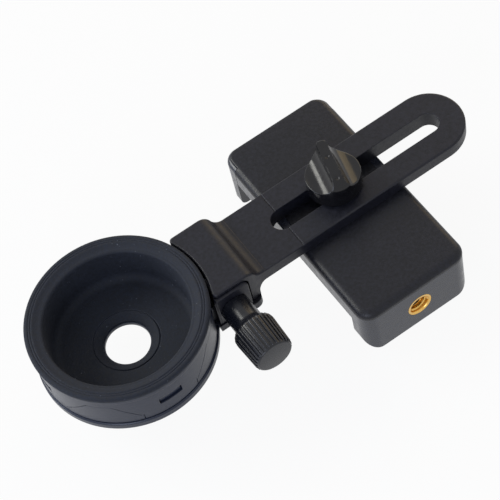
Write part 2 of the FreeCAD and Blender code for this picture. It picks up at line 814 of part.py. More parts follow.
def wing_knob():
    # Side view of the grip: a flat top that falls in a curve to the near edge.
    heel_mid = V(0, (wing_heel - knob_r) / 2 - 0.2 * (wing_heel + knob_r),
                 knob_rim_z + 0.7 * (wing_top - knob_rim_z))
    near_edge = V(0, -knob_r, knob_rim_z - top_edge_r)
    edges = [
        Part.makeLine(V(0, -knob_r, knob_bottom), V(0, wing_tip, knob_bottom)),
        Part.makeLine(V(0, wing_tip, knob_bottom), V(0, wing_tip, wing_top)),
        Part.makeLine(V(0, wing_tip, wing_top), V(0, wing_heel, wing_top)),
        Part.Arc(V(0, wing_heel, wing_top), heel_mid, near_edge).toShape(),
        Part.makeLine(near_edge, V(0, -knob_r, knob_bottom)),
    ]
    side = Part.Face(Part.Wire(edges)).extrude(V(2 * knob_r, 0, 0))
    side.translate(V(-knob_r, 0, 0))

    # A round body, with the rounded tip of the grip past it.
    nose = box(-wing_half, wing_half, 0, wing_tip, knob_bottom, wing_top)
    upright = edges_at(nose, lambda edge: all_points(edge, lambda p: p.y > wing_tip - 0.01)
                       and abs(edge.tangentAt(edge.FirstParameter).z) > 0.99)
    nose = nose.makeFillet(wing_tip_r, upright)
    body = rod(knob_r, V(0, 0, knob_bottom), wing_top - knob_bottom).fuse(nose).common(side)

    # A hollow scoop on each side leaves the grip between them.
    scoop_z = knob_rim_z + scoop_r
    scoop_x = wing_half + math.sqrt(scoop_r ** 2 - (scoop_z - wing_top) ** 2)
    for sign in (-1, 1):
        scoop = rod(scoop_r, V(sign * scoop_x, -2 * knob_r, scoop_z), 4 * knob_r, Y_AXIS)
        scoop.rotate(V(0, 0, scoop_z), X_AXIS, -scoop_tilt)
        body = body.cut(scoop)
    for y in dimple_ys:
        body = body.cut(rod(dimple_r, V(0, y, wing_top - dimple_depth), dimple_depth))
    body.rotate(V(0, 0, 0), Z_AXIS, wing_angle - 90)
    body.translate(V(knob_x, 0, 0))
    socket = rod(knob_stud_r, V(knob_x, 0, 0), knob_rim_z - stud_cover)
    return body.cut(socket).removeSplitter()


def knob_stud():
    low = knob_nut_top - knob_nut_t
    stud = rod(knob_stud_r, V(knob_x, 0, low), knob_rim_z - stud_cover - low)
    rim = edges_at(stud, lambda edge: all_points(edge, lambda p: abs(p.z - low) < 0.01))
    return stud.makeChamfer(stud_chamfer, rim)


pieces = {
    "arm_housing": arm_housing,
    "retaining_ring": retaining_ring,
    "rubber_cup": rubber_cup,
    "base_cover": base_cover,
    "base_screws": base_screws,
    "clamp_band": clamp_band,
    "band_nut": band_nut,
    "clamp_lug": clamp_lug,
    "thumbscrew_knob": thumbscrew_knob,
    "thumbscrew_stud": thumbscrew_stud,
    "holder_body": holder_body,
    "holder_cover": holder_cover,
    "cover_screws": cover_screws,
    "brass_insert": brass_insert,
    "fixed_jaw_pad": fixed_jaw_pad,
    "back_pad": back_pad,
    "knob_nut": knob_nut,
    "moving_jaw": moving_jaw,
    "moving_jaw_pad": moving_jaw_pad,
    "guide_rods": guide_rods,
    "jaw_springs": jaw_springs,
    "knob_washer": knob_washer,
    "wing_knob": wing_knob,
    "knob_stud": knob_stud,
}

os.makedirs("parts", exist_ok=True)
for name, make in pieces.items():
    shape = make()
    shape.exportStep("parts/" + name + ".step")
    print(name, len(shape.Solids), "solid", round(shape.Volume, 1), "mm3", shape.isValid())
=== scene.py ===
import math

import bpy
import bmesh
from mathutils import Matrix, Vector


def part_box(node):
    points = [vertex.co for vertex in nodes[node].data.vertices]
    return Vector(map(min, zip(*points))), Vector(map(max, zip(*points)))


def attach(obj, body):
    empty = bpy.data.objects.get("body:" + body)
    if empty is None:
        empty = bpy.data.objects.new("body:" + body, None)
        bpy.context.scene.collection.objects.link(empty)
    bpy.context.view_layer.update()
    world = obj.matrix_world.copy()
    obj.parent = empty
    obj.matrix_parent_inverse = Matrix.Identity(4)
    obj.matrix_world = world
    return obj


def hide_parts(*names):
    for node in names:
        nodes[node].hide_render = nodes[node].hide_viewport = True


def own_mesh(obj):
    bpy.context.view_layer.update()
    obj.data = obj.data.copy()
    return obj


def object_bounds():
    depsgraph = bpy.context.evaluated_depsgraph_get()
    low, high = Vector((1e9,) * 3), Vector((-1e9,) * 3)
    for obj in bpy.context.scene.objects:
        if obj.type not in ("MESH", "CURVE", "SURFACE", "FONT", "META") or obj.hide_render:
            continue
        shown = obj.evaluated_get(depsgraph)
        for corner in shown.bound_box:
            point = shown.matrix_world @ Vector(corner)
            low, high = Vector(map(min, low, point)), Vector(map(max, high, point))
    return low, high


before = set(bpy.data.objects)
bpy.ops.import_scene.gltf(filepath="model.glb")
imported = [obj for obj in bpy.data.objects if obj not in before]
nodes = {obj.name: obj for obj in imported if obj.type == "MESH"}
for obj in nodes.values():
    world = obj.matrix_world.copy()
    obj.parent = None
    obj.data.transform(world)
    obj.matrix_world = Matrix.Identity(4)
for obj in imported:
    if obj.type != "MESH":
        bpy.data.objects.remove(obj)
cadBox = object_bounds()
mm = 0.001
print("frame loaded,", len(nodes), "nodes")


# Materials

def linearColour(hexText, alpha=1.0):
    channels = [int(hexText[i:i + 2], 16) / 255 for i in (1, 3, 5)]
    linear = [c / 12.92 if c <= 0.04045 else ((c + 0.055) / 1.055) ** 2.4 for c in channels]
    return (*linear, alpha)


def addNode(tree, kind, settings=None, inputs=None):
    node = tree.nodes.new(kind)
    for name, value in (settings or {}).items():
        setattr(node, name, value)
    for key, value in (inputs or {}).items():
        if isinstance(value, bpy.types.NodeSocket):
            tree.links.new(value, node.inputs[key])
        else:
            node.inputs[key].default_value = value
    return node


def newMaterial(name):
    material = bpy.data.materials.new(name)
    material.use_nodes = True
    tree = material.node_tree
    tree.nodes.clear()
    shader = addNode(tree, "ShaderNodeBsdfPrincipled")
    addNode(tree, "ShaderNodeOutputMaterial", inputs={"Surface": shader.outputs[0]})
    place = addNode(tree, "ShaderNodeTexCoord").outputs["Object"]
    return material, tree, shader, place


def noiseAt(tree, place, sizeMm, detail=2.0):
    noise = addNode(tree, "ShaderNodeTexNoise", inputs={
        "Vector": place, "Scale": 1 / (sizeMm * mm), "Detail": detail, "Roughness": 0.6})
    return noise.outputs["Fac"]


def spread(tree, value, low, high, fromLow=0.3, fromHigh=0.7):
    # A noise lies mostly between 0.3 and 0.7, so that much of it is spread from low to high.
    node = addNode(tree, "ShaderNodeMapRange", inputs={
        0: value, 1: fromLow, 2: fromHigh, 3: low, 4: high})
    return node.outputs[0]


def blendColour(tree, factor, first, second, mode="MIX"):
    node = addNode(tree, "ShaderNodeMix", {"data_type": "RGBA", "blend_type": mode}, {
        0: factor, 6: first, 7: second})
    return node.outputs[2]


def roundedNormal(tree, widthMm):
    # The small radius that every moulded edge has, and how strongly it turns there.
    bevel = addNode(tree, "ShaderNodeBevel", {"samples": 6}, {"Radius": widthMm * mm})
    face = addNode(tree, "ShaderNodeNewGeometry").outputs["True Normal"]
    turn = addNode(tree, "ShaderNodeVectorMath", {"operation": "DOT_PRODUCT"}, {
        0: bevel.outputs[0], 1: face})
    edge = spread(tree, turn.outputs["Value"], 1.0, 0.0, 0.80, 0.97)
    return bevel.outputs[0], edge


def addDust(tree, place, tone, settings):
    # Small pale flecks, in the patches that a slower noise leaves.
    flecks = addNode(tree, "ShaderNodeTexVoronoi", inputs={
        "Vector": place, "Scale": 1 / (settings["dustMm"] * mm), "Randomness": 1.0})
    small = spread(tree, flecks.outputs["Distance"], 1.0, 0.0, 0.06, 0.16)
    patches = noiseAt(tree, place, settings["dustMm"] * 2.3)
    rare = spread(tree, patches, 0.0, settings["dust"], 0.52, 0.68)
    fleck = addNode(tree, "ShaderNodeMath", {"operation": "MULTIPLY"}, {0: small, 1: rare})
    return blendColour(tree, fleck.outputs[0], tone, linearColour(settings["dustColour"]))


def polishWallWithPaintedLight(tree, place, tone, rough, settings):
    # Within wallR of the cup's axis the mould was polished, so the wall is smoother; its tone is painted
    # lighter and bluer there, which is painted light on the same plastic.
    axis = addNode(tree, "ShaderNodeSeparateXYZ", inputs={0: place})
    flat = addNode(tree, "ShaderNodeCombineXYZ", inputs={0: axis.outputs[0], 1: axis.outputs[1]})
    reach = addNode(tree, "ShaderNodeVectorMath", {"operation": "LENGTH"}, {0: flat.outputs[0]})
    start = settings["wallR"] * mm
    end = start + 0.3 * mm
    wall = spread(tree, reach.outputs["Value"], 1.0, 0.0, start, end)
    # Painted light: the wall is drawn lighter and bluer, as if lit, on the same plastic.
    tone = blendColour(tree, wall, tone, linearColour(settings["litWallTone"]))
    polished = addNode(tree, "ShaderNodeMix", {"data_type": "FLOAT"}, {
        0: wall, 2: rough, 3: settings["wallRoughness"]})
    return tone, polished.outputs[0]


def mouldedSurface(name, settings):
    # edgeMm, dust and wallR are left out where a surface has no such thing.
    material, tree, shader, place = newMaterial(name)
    grain = noiseAt(tree, place, settings["grainMm"], 3.0)
    mottle = noiseAt(tree, place, settings["mottleMm"], 2.0)
    cloud = noiseAt(tree, place, settings["cloudMm"], 2.0)
    tone = blendColour(tree, cloud, linearColour(settings["dark"]), linearColour(settings["light"]))
    speck = spread(tree, mottle, 1 - settings["speck"], 1 + settings["speck"])
    tone = blendColour(tree, 1.0, tone, speck, "MULTIPLY")
    if "edgeMm" in settings:
        normal, edge = roundedNormal(tree, settings["edgeMm"])
        # Every rounded edge is blended towards a paler tone: partly real wear, partly a painted highlight
        # along the edge.
        rubbedAndLitEdge = addNode(tree, "ShaderNodeMath", {"operation": "MULTIPLY"}, {
            0: edge, 1: settings["wearAndHighlight"]})
        tone = blendColour(tree, rubbedAndLitEdge.outputs[0], tone, linearColour(settings["wornAndHighlightTone"]))
    if "dust" in settings:
        tone = addDust(tree, place, tone, settings)
    rough = spread(tree, mottle, settings["roughness"] - 0.07, settings["roughness"] + 0.07)
    if "wallR" in settings:
        tone, rough = polishWallWithPaintedLight(tree, place, tone, rough, settings)
    pitted = addNode(tree, "ShaderNodeMath", {"operation": "ADD"}, {0: grain, 1: mottle})
    bump = addNode(tree, "ShaderNodeBump", inputs={
        "Strength": settings["bump"], "Distance": 0.1 * mm, "Height": pitted.outputs[0]})
    if "edgeMm" in settings:
        tree.links.new(normal, bump.inputs["Normal"])
    tree.links.new(tone, shader.inputs["Base Color"])
    tree.links.new(rough, shader.inputs["Roughness"])
    tree.links.new(bump.outputs[0], shader.inputs["Normal"])
    shader.inputs["IOR"].default_value = settings["ior"]
    shader.inputs["Specular IOR Level"].default_value = settings["specular"]
    return material


def bareMetal(name, settings):
    material, tree, shader, place = newMaterial(name)
    marks = noiseAt(tree, place, settings["markMm"], 3.0)
    tone = blendColour(tree, marks, linearColour(settings["dark"]), linearColour(settings["light"]))
    normal, edge = roundedNormal(tree, settings["edgeMm"])
    # Every edge is blended to the light tone: a painted highlight along the edge.
    tone = blendColour(tree, edge, tone, linearColour(settings["light"]))
    rough = spread(tree, marks, settings["roughness"] - 0.05, settings["roughness"] + 0.08)
    bump = addNode(tree, "ShaderNodeBump", inputs={
        "Strength": 0.15, "Distance": 0.02 * mm, "Height": marks, "Normal": normal})
    tree.links.new(tone, shader.inputs["Base Color"])
    tree.links.new(rough, shader.inputs["Roughness"])
    tree.links.new(bump.outputs[0], shader.inputs["Normal"])
    shader.inputs["Metallic"].default_value = 1.0
    return material


# ABS from a spark-eroded mould: near-black, evenly grained, a wide dull sheen.
# The real grain is near 0.05 mm. Here and below it is drawn at 0.4 to 2 mm, so that it shows.
satinAbs = mouldedSurface("satinAbs", {
    "dark": "#15161e", "light": "#1d1e27", "wornAndHighlightTone": "#4a4a52", "wearAndHighlight": 0.30,
    "grainMm": 0.45, "mottleMm": 1.1, "cloudMm": 14.0, "speck": 0.35,
    "roughness": 0.42, "bump": 0.38, "edgeMm": 0.35, "ior": 1.5, "specular": 0.28,
    # Near the cup's axis the wall gets a lighter, bluer tone: painted light.
    "wallR": 26.6, "litWallTone": "#262c3c", "wallRoughness": 0.30})
# ABS from a smoother mould, for the holder and its jaw: bluer, and it mirrors the floor softly.
smoothAbs = mouldedSurface("smoothAbs", {
    "dark": "#1a1e2b", "light": "#222736", "wornAndHighlightTone": "#5a6072", "wearAndHighlight": 0.30,
    "grainMm": 0.6, "mottleMm": 1.6, "cloudMm": 12.0, "speck": 0.12,
    "roughness": 0.27, "bump": 0.07, "edgeMm": 0.3, "ior": 1.5, "specular": 0.5})
# The holder's cover: grained ABS like the arm's, rubbed a little smoother by pockets and hands.
coverAbs = mouldedSurface("coverAbs", {
    "dark": "#13141b", "light": "#1b1c24",
    "grainMm": 0.5, "mottleMm": 1.0, "cloudMm": 16.0, "speck": 0.40,
    "roughness": 0.38, "bump": 0.32, "ior": 1.5, "specular": 0.28})
# Polished ABS for the wing knob: black, with sharp bright lines on its edges.
glossAbs = mouldedSurface("glossAbs", {
    "dark": "#0f0f12", "light": "#151519",
    "grainMm": 0.8, "mottleMm": 2.0, "cloudMm": 6.0, "speck": 0.05,
    "roughness": 0.17, "bump": 0.01, "ior": 1.5, "specular": 0.34})
# Plain ABS for the thumbscrew: greyer and duller than the wing knob, with soft lines on its ribs.
gripAbs = mouldedSurface("gripAbs", {
    "dark": "#181a20", "light": "#1f2128",
    "grainMm": 0.6, "mottleMm": 1.4, "cloudMm": 6.0, "speck": 0.12,
    "roughness": 0.27, "bump": 0.03, "ior": 1.5, "specular": 0.38})
# Moulded rubber: deep, slightly blue, hardly any gloss, with the pale dust it holds.
cupRubber = mouldedSurface("cupRubber", {
    "dark": "#1d212a", "light": "#252933", "wornAndHighlightTone": "#474b57", "wearAndHighlight": 0.45,
    "grainMm": 0.4, "mottleMm": 0.9, "cloudMm": 7.0, "speck": 0.35,
    "roughness": 0.76, "bump": 0.60, "edgeMm": 0.5, "ior": 1.5, "specular": 0.30,
    "dust": 0.75, "dustMm": 1.3, "dustColour": "#7d828c"})
# Closed-cell foam for the pads: dull and pitted, with cells near 0.4 mm.
padFoam = mouldedSurface("padFoam", {
    "dark": "#141416", "light": "#1b1b1e", "wornAndHighlightTone": "#26262a", "wearAndHighlight": 0.2,
    "grainMm": 0.4, "mottleMm": 0.8, "cloudMm": 5.0, "speck": 0.30,
    "roughness": 0.92, "bump": 0.9, "edgeMm": 0.3, "ior": 1.45, "specular": 0.2})
# Turned brass: warm yellow, with fine tool marks that break up its mirror.
turnedBrass = bareMetal("turnedBrass", {
    "dark": "#c08f3f", "light": "#ecc878", "markMm": 0.4, "roughness": 0.24, "edgeMm": 0.12})
# Bright zinc plate on the screws, studs, nuts, rods and washer: pale and slightly cloudy.
zincPlate = bareMetal("zincPlate", {
    "dark": "#8e9094", "light": "#c2c5ca", "markMm": 0.5, "roughness": 0.30, "edgeMm": 0.12})
# Hard-drawn spring steel: darker and smoother than the zinc.
springSteel = bareMetal("springSteel", {
    "dark": "#6d6f73", "light": "#9b9da1", "markMm": 0.6, "roughness": 0.24, "edgeMm": 0.08})
# Spring steel with a black oxide skin, for the band that squeezes the cup.
blackSteel = bareMetal("blackSteel", {
    "dark": "#1b1c20", "light": "#2e3036", "markMm": 0.6, "roughness": 0.42, "edgeMm": 0.08})

finishes = {
    "arm_housing": satinAbs, "retaining_ring": satinAbs, "base_cover": satinAbs,
    "clamp_lug": satinAbs, "holder_body": smoothAbs, "holder_cover": coverAbs,
    "moving_jaw": smoothAbs, "wing_knob": glossAbs, "thumbscrew_knob": gripAbs,
    "rubber_cup": cupRubber, "fixed_jaw_pad": padFoam, "moving_jaw_pad": padFoam,
    "back_pad": padFoam, "brass_insert": turnedBrass, "base_screws": zincPlate,
    "cover_screws": zincPlate, "band_nut": zincPlate, "knob_nut": zincPlate,
    "thumbscrew_stud": zincPlate, "knob_stud": zincPlate, "knob_washer": zincPlate,
    "guide_rods": zincPlate, "jaw_springs": springSteel, "clamp_band": blackSteel,
}
for nodeName, finish in finishes.items():
    for materialSlot in nodes[nodeName].material_slots:
        materialSlot.material = finish
print("materials given to", len(finishes), "nodes")


# Mesh helpers

def newPiece(name, points, faces, material, edges=(), smoothAngle=35):
    mesh = bpy.data.meshes.new(name)
    mesh.from_pydata([Vector(p) * mm for p in points], edges, faces)
    return finishPiece(name, mesh, material, smoothAngle)


def finishPiece(name, mesh, material, smoothAngle=35):
    shape = bmesh.new()
    shape.from_mesh(mesh)
    if shape.faces:
        bmesh.ops.remove_doubles(shape, verts=shape.verts, dist=0.002 * mm)
        bmesh.ops.dissolve_degenerate(shape, edges=shape.edges, dist=0.001 * mm)
        bmesh.ops.recalc_face_normals(shape, faces=shape.faces)
        for face in shape.faces:
            face.smooth = True
        for edge in shape.edges:
            edge.smooth = edge.calc_face_angle(math.pi) < math.radians(smoothAngle)
    shape.to_mesh(mesh)
    shape.free()
    if material:
        mesh.materials.clear()
        mesh.materials.append(material)
    piece = bpy.data.objects.new(name, mesh)
    bpy.context.scene.collection.objects.link(piece)
    return piece


def fixModifiers(piece, material, smoothAngle=35):
    # What the modifiers give becomes the piece's own plain mesh.
    view = bpy.context.evaluated_depsgraph_get()
    mesh = bpy.data.meshes.new_from_object(piece.evaluated_get(view))
    name = piece.name
    bpy.data.objects.remove(piece)
    return finishPiece(name, mesh, material, smoothAngle)


def arcPoints(centre, radius, start, end, count):
    angles = [math.radians(start + (end - start) * i / count) for i in range(count + 1)]
    return [(centre[0] + radius * math.cos(a), centre[1] + radius * math.sin(a)) for a in angles]


squareCorner = 0.001  # mm, a corner's radius where it is square


def roundedOutline(x0, x1, y0, y1, radii, steps=8):
    # radii belong to the corners (x0, y0), (x1, y0), (x1, y1) and (x0, y1).
    corners = ((x0, y0, 1, 1, 180), (x1, y0, -1, 1, 270), (x1, y1, -1, -1, 0), (x0, y1, 1, -1, 90))
    outline = []
    for (x, y, sideX, sideY, start), radius in zip(corners, radii):
        for step in range(steps + 1):
            angle = math.radians(start + 90 * step / steps)
            outline.append((x + radius * (sideX + math.cos(angle)),
                            y + radius * (sideY + math.sin(angle))))
    return outline


def loftRings(rings):
    # Rings of equally many points, closed by a flat face at each end.
    count = len(rings[0])
    points = [point for ring in rings for point in ring]
    faces = [tuple(reversed(range(count)))]
    for level in range(len(rings) - 1):
        for i in range(count):
            j = (i + 1) % count
            faces.append((level * count + i, level * count + j,
                          (level + 1) * count + j, (level + 1) * count + i))
    faces.append(tuple(range((len(rings) - 1) * count, len(rings) * count)))
    return points, faces


# Geometry Nodes

def newTree(name, sizes):
    tree = bpy.data.node_groups.new(name, "GeometryNodeTree")
    tree.interface.new_socket("Geometry", in_out="INPUT", socket_type="NodeSocketGeometry")
    for label, kind in sizes.items():
        tree.interface.new_socket(label, in_out="INPUT", socket_type="NodeSocket" + kind)
    tree.interface.new_socket("Geometry", in_out="OUTPUT", socket_type="NodeSocketGeometry")
    entry = addNode(tree, "NodeGroupInput")
    return tree, entry.outputs


def endTree(tree, shape, material):
    real = addNode(tree, "GeometryNodeRealizeInstances", inputs={"Geometry": shape})
    dressed = addNode(tree, "GeometryNodeSetMaterial", inputs={
        "Geometry": real.outputs[0], "Material": material})
    addNode(tree, "NodeGroupOutput", inputs={"Geometry": dressed.outputs[0]})


def growPiece(name, tree, sizes, start, material, smoothAngle=35):
    # start is (points, faces, edges) of the mesh that the tree works on.
    points, faces, edges = start
    seed = newPiece(name, points, faces, None, edges)
    grower = seed.modifiers.new(tree.name, "NODES")
    grower.node_group = tree
    for item in tree.interface.items_tree:
        if item.in_out == "INPUT" and item.name in sizes:
            grower[item.identifier] = sizes[item.name]
    return fixModifiers(seed, material, smoothAngle)


trackR = 1.0  # mm, the circle that a section is carried round


# A section turned round an axis: the section is a loop of (radius, height).
lathe, entry = newTree("lathe", {"Steps": "Int", "Turn": "Vector", "Place": "Vector",
                                 "Finish": "Material"})
section = addNode(lathe, "GeometryNodeMeshToCurve", inputs={0: entry["Geometry"]})
track = addNode(lathe, "GeometryNodeCurvePrimitiveCircle", inputs={
    "Resolution": entry["Steps"], "Radius": trackR * mm})
turned = addNode(lathe, "GeometryNodeCurveToMesh", inputs={
    "Curve": track.outputs[0], "Profile Curve": section.outputs[0]})
merged = addNode(lathe, "GeometryNodeMergeByDistance", inputs={
    "Geometry": turned.outputs[0], "Distance": 0.001 * mm})
placed = addNode(lathe, "GeometryNodeTransform", inputs={
    "Geometry": merged.outputs[0], "Rotation": entry["Turn"], "Translation": entry["Place"]})
endTree(lathe, placed.outputs[0], entry["Finish"])


def turnedPiece(name, section, steps, material, turn=(0, 0, 0), place=(0, 0, 0), smoothAngle=35):
    # The tree adds the track's radius, and a section's height runs down in it.
    points = [(radius - trackR, -height, 0) for radius, height in section]
    edges = [(i, (i + 1) % len(points)) for i in range(len(points))]
    return growPiece(name, lathe, {
        "Steps": steps, "Turn": turn, "Place": Vector(place) * mm, "Finish": material,
    }, (points, (), edges), material, smoothAngle)


# A wire wound round an axis, in one or more copies side by side.
winding, entry = newTree("winding", {
    "Turns": "Float", "Radius": "Float", "Length": "Float", "Wire": "Float", "WireSides": "Int",
    "Copies": "Int", "Pitch": "Vector", "Turn": "Vector", "Place": "Vector", "Finish": "Material"})
spiral = addNode(winding, "GeometryNodeCurveSpiral", inputs={
    "Resolution": 28, "Rotations": entry["Turns"], "Start Radius": entry["Radius"],
    "End Radius": entry["Radius"], "Height": entry["Length"]})
wireRing = addNode(winding, "GeometryNodeCurvePrimitiveCircle", inputs={
    "Resolution": entry["WireSides"], "Radius": entry["Wire"]})
wound = addNode(winding, "GeometryNodeCurveToMesh", inputs={
    "Curve": spiral.outputs[0], "Profile Curve": wireRing.outputs[0], "Fill Caps": True})
laid = addNode(winding, "GeometryNodeTransform", inputs={
    "Geometry": wound.outputs[0], "Rotation": entry["Turn"]})
row = addNode(winding, "GeometryNodeMeshLine", inputs={
    "Count": entry["Copies"], "Start Location": entry["Place"], "Offset": entry["Pitch"]})
copies = addNode(winding, "GeometryNodeInstanceOnPoints", inputs={
    "Points": row.outputs[0], "Instance": laid.outputs[0]})
endTree(winding, copies.outputs[0], entry["Finish"])

# One rib repeated round an axis.
ribRing, entry = newTree("ribRing", {"Count": "Int", "Turn": "Vector", "Place": "Vector",
                                     "Finish": "Material"})
spots = addNode(ribRing, "GeometryNodePoints", inputs={"Count": entry["Count"]})
share = addNode(ribRing, "ShaderNodeMath", {"operation": "DIVIDE"}, {
    0: addNode(ribRing, "GeometryNodeInputIndex").outputs[0], 1: entry["Count"]})
angle = addNode(ribRing, "ShaderNodeMath", {"operation": "MULTIPLY"}, {
    0: share.outputs[0], 1: 2 * math.pi})
swing = addNode(ribRing, "ShaderNodeCombineXYZ", inputs={"Z": angle.outputs[0]})
ribs = addNode(ribRing, "GeometryNodeInstanceOnPoints", inputs={
    "Points": spots.outputs[0], "Instance": entry["Geometry"], "Rotation": swing.outputs[0]})
solidRibs = addNode(ribRing, "GeometryNodeRealizeInstances", inputs={"Geometry": ribs.outputs[0]})
stood = addNode(ribRing, "GeometryNodeTransform", inputs={
    "Geometry": solidRibs.outputs[0], "Rotation": entry["Turn"], "Translation": entry["Place"]})
endTree(ribRing, stood.outputs[0], entry["Finish"])
print("node trees ready")


# Rubber cup: one soft moulding with a folded rim, a skirt and a hole to look through

cup = {
    "holeR": 7.1, "holeDrop": 1.2, "holeEdge": 0.3, "holeLipR": 9.3, "lipEdge": 0.5,
    "outerR": 22.6, "innerR": 21.2, "bottom": 1.15, "floor": 3.0, "cornerR": 2.6,
    "skirt": 14.3, "skirtR": 25.3, "lip": 15.75, "lipChamfer": 0.15,
    "rimR": 26.5, "top": 17.45, "rimEdge": 0.8, "rimFlat": 2.2, "slope": 1.1, "throatEdge": 0.8,
    "foldRs": (25.15, 24.45), "foldDepth": 0.16, "foldMouth": 0.18, "foldRoot": 0.05,
    "grooveGap": 0.45, "grooveDepth": 0.28, "grooveMouth": 0.2, "grooveRoot": 0.08,
    "steps": 128,
}


def addRubberCup(s):
    top, floor = s["top"], s["floor"]
    outline = [(s["holeR"], s["bottom"]), (s["outerR"], s["bottom"]), (s["outerR"], s["skirt"]),
               (s["skirtR"], s["skirt"]), (s["skirtR"], s["lip"]),
               (s["rimR"] - s["lipChamfer"], s["lip"]), (s["rimR"], s["lip"] + s["lipChamfer"])]
    outline += arcPoints((s["rimR"] - s["rimEdge"], top - s["rimEdge"]), s["rimEdge"], 0, 88, 7)
    for foldR in s["foldRs"]:  # two shallow folds run round the rim's flat top
        foldFloor = top - s["foldDepth"]
        outline += [(foldR + s["foldMouth"], top), (foldR + s["foldRoot"], foldFloor),
                    (foldR - s["foldRoot"], foldFloor), (foldR - s["foldMouth"], top)]
    flatEnd = s["rimR"] - s["rimFlat"]
    outline += [(flatEnd - 0.2, top), (flatEnd - 0.6, top - 0.08)]  # here it starts to fall
    throat = s["throatEdge"]
    outline += arcPoints((s["innerR"] + throat, top - s["slope"] - 0.75), throat, 75, 180, 7)
    outline += arcPoints((s["innerR"] - s["cornerR"], floor + s["cornerR"]), s["cornerR"], 0, -90, 10)
    groove = s["holeLipR"] + s["grooveGap"]  # a fine groove sets off the lip round the hole
    grooveFloor = floor - s["grooveDepth"]
    outline += [(groove + s["grooveMouth"], floor), (groove + s["grooveRoot"], grooveFloor),
                (groove - s["grooveRoot"], grooveFloor), (groove - s["grooveMouth"], floor + 0.12)]
    outline += arcPoints((s["holeLipR"], floor - s["lipEdge"]), s["lipEdge"], 90, 118, 3)
    edge = s["holeEdge"]
    outline += arcPoints((s["holeR"] + edge, floor - s["holeDrop"] - edge), edge, 110, 180, 4)
    return turnedPiece("rubberCup", outline, s["steps"], cupRubber, smoothAngle=50)


# The housing's wall goes on up to the rubber's rim as a plain collar.
collar = {"innerR": 25.35, "outerR": 26.12, "low": 14.02, "high": 15.68, "edge": 0.12, "steps": 128}


def addCollar(s):
    e = s["edge"]
    section = [(s["innerR"], s["low"]), (s["outerR"], s["low"]), (s["outerR"], s["high"] - e),
               (s["outerR"] - e, s["high"]), (s["innerR"], s["high"])]
    return turnedPiece("housingCollar", section, s["steps"], satinAbs)


housingCollar = addCollar(collar)
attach(housingCollar, "cup_and_arm")

rubberCup = addRubberCup(cup)
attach(rubberCup, "cup_and_arm")
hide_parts("rubber_cup")
print("rubber cup made")


# Holder cover: two plates with a large rounded edge, and the channel below the bar

cover = {
    "left": 55.25, "right": 91.25, "near": -39.9, "far": 32.19, "grooveHalf": 5.2, "capY": 25.85,
    "seamZ": 4.55, "seamStep": 0.13, "seamLand": 0.1, "edgeR": 2.3, "top": 7.15,
    "cornerR": 4.4, "leastCornerR": 0.5, "nearProud": 0.02, "rimX": 1.27, "capBottom": 5.68,
    "channelX": (57.95, 88.55), "channelHalf": 6.8, "channelZ": (4.45, 5.64), "channelCornerR": 0.5,
}


def coverLevels(s):
    # The rounded edge is a quarter circle that ends where the top lies flat.
    edgeZ = s["top"] - s["edgeR"]
    levels = [(-s["seamStep"], s["seamZ"]), (-s["seamStep"], edgeZ - s["seamLand"])]
    for inset, height in arcPoints((s["edgeR"], edgeZ), s["edgeR"], 180, 90, 12):
        levels.append((inset - s["seamStep"] * (1 - inset / s["edgeR"]), height))
    return levels


def nearPlateRings(s):
    rings = []
    for inset, height in coverLevels(s):
        radius = max(s["cornerR"] - inset, s["leastCornerR"])
        near = s["near"] + max(inset, -s["nearProud"])  # kept inside the frame's box
        outline = roundedOutline(s["left"] + inset, s["right"] - inset, near, -s["grooveHalf"],
                                 (radius, radius, squareCorner, squareCorner))
        rings.append([(x, y, height) for x, y in outline])
    return rings


def farPlateRings(s):
    # Past capY the plate is narrower, because the jaw's cap wraps round it there.
    rings = []
    for inset, height in coverLevels(s):
        tight = max(inset, s["rimX"])
        radius = s["cornerR"] - tight
        end = s["far"] - (tight - s["rimX"])
        left, right = s["left"] + inset, s["right"] - inset
        broad = [(left, s["capY"]), (left, s["grooveHalf"]), (right, s["grooveHalf"]), (right, s["capY"])]
        narrow = roundedOutline(s["left"] + tight, s["right"] - tight, s["capY"], end,
                                (squareCorner, squareCorner, radius, radius))
        firstCorner = len(narrow) // 4  # its points are left for the one that closes the ring
        narrow = narrow[firstCorner:] + [(s["left"] + tight, s["capY"])]
        ring = [(x, y, height) for x, y in broad]
        ring += [(x, y, max(height, s["capBottom"])) for x, y in narrow]
        rings.append(ring)
    return rings


def addHolderCover(s):
    x0, x1 = s["channelX"]
    half = s["channelHalf"]
    outline = roundedOutline(x0, x1, -half, half, (s["channelCornerR"],) * 4)
    channel = [[(x, y, z) for x, y in outline] for z in s["channelZ"]]
    points, faces = [], []
    for rings in (nearPlateRings(s), farPlateRings(s), channel):
        base = len(points)
        partPoints, partFaces = loftRings(rings)
        points += partPoints
        faces += [tuple(base + i for i in face) for face in partFaces]
    return newPiece("holderCover", points, faces, coverAbs, smoothAngle=40)


holderCover = addHolderCover(cover)
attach(holderCover, "holder")
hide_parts("holder_cover")
print("holder cover made")


# Face of the sliding lug, which fills its recess but for a narrow gap

lugFace = {
    "x": (24.6, 35.35), "y": (-13.1, -11.6), "z": (2.98, 14.75), "cornerRs": (0.3, 0.6, 1.6, 0.5),
    "edge": ((0.25, 0.0), (0.07, 0.07), (0.0, 0.25)),  # (depth behind the face, inset)
}


def addLugFace(s):
    (x0, x1), (z0, z1) = s["x"], s["z"]
    front, back = s["y"]
    levels = [(back, 0.0)] + [(front + depth, inset) for depth, inset in s["edge"]]
    rings = []
    for y, inset in levels:
        outline = roundedOutline(x0 + inset, x1 - inset, z0 + inset, z1 - inset, s["cornerRs"])
        rings.append([(x, y, z) for x, z in outline])
    return newPiece("lugFace", *loftRings(rings), satinAbs)


lugPlate = addLugFace(lugFace)
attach(lugPlate, "lug")
print("lug face made")


# Thumbscrew: a turned body and thirty ribs that taper with its grip

